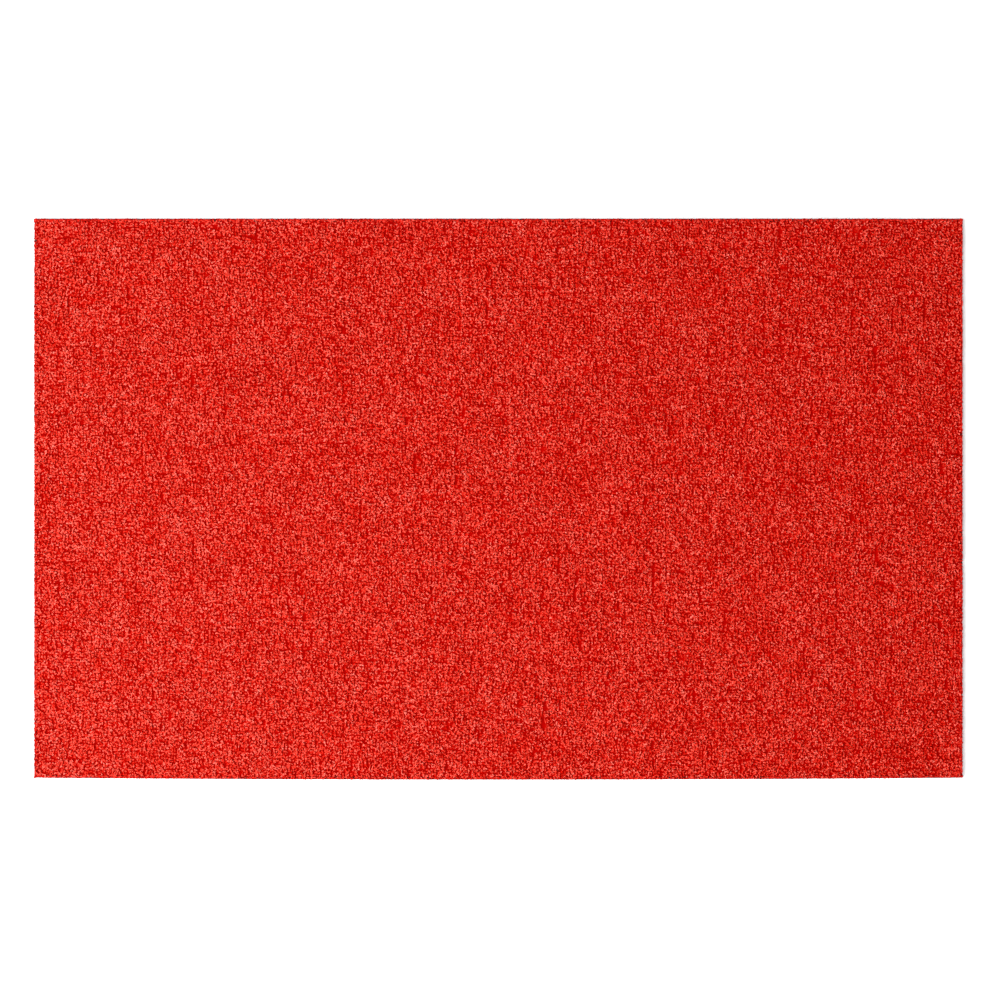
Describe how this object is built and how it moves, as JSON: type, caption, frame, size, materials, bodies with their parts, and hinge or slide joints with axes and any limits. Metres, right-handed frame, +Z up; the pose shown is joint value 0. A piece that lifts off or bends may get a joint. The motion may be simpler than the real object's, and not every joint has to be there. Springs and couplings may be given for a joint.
{
  "type": "door mat",
  "caption": "Rectangular door mat: dense red cut coir pile tufted in rows into a flat vinyl backing, with plain cut edges.",
  "frame": {"origin": "centre of the mat's underside, on the floor plane", "axes": "+X along the long side and along the rows of tufts, +Y across the mat, +Z up out of the pile"},
  "size_m": [0.762, 0.457, 0.016],
  "materials": {
    "vinyl": "matt, lightly textured",
    "coir_pile": "dyed coir fibre, shorn level"
  },
  "bodies": {
    "root": {"vinyl_backing": "vinyl", "tuft_row_01": "coir_pile", "tuft_row_02": "coir_pile", "tuft_row_03": "coir_pile", "tuft_row_04": "coir_pile", "tuft_row_05": "coir_pile", "tuft_row_06": "coir_pile", "tuft_row_07": "coir_pile", "tuft_row_08": "coir_pile", "tuft_row_09": "coir_pile", "tuft_row_10": "coir_pile", "tuft_row_11": "coir_pile", "tuft_row_12": "coir_pile", "tuft_row_13": "coir_pile", "tuft_row_14": "coir_pile", "tuft_row_15": "coir_pile", "tuft_row_16": "coir_pile", "tuft_row_17": "coir_pile", "tuft_row_18": "coir_pile", "tuft_row_19": "coir_pile", "tuft_row_20": "coir_pile", "tuft_row_21": "coir_pile", "tuft_row_22": "coir_pile", "tuft_row_23": "coir_pile", "tuft_row_24": "coir_pile", "tuft_row_25": "coir_pile", "tuft_row_26": "coir_pile", "tuft_row_27": "coir_pile", "tuft_row_28": "coir_pile", "tuft_row_29": "coir_pile", "tuft_row_30": "coir_pile", "tuft_row_31": "coir_pile", "tuft_row_32": "coir_pile", "tuft_row_33": "coir_pile", "tuft_row_34": "coir_pile", "tuft_row_35": "coir_pile", "tuft_row_36": "coir_pile", "tuft_row_37": "coir_pile", "tuft_row_38": "coir_pile", "tuft_row_39": "coir_pile", "tuft_row_40": "coir_pile", "tuft_row_41": "coir_pile", "tuft_row_42": "coir_pile", "tuft_row_43": "coir_pile", "tuft_row_44": "coir_pile", "tuft_row_45": "coir_pile", "tuft_row_46": "coir_pile", "tuft_row_47": "coir_pile", "tuft_row_48": "coir_pile", "tuft_row_49": "coir_pile", "tuft_row_50": "coir_pile", "tuft_row_51": "coir_pile", "tuft_row_52": "coir_pile", "tuft_row_53": "coir_pile", "tuft_row_54": "coir_pile", "tuft_row_55": "coir_pile", "tuft_row_56": "coir_pile", "tuft_row_57": "coir_pile"}
  },
  "joints": []
}
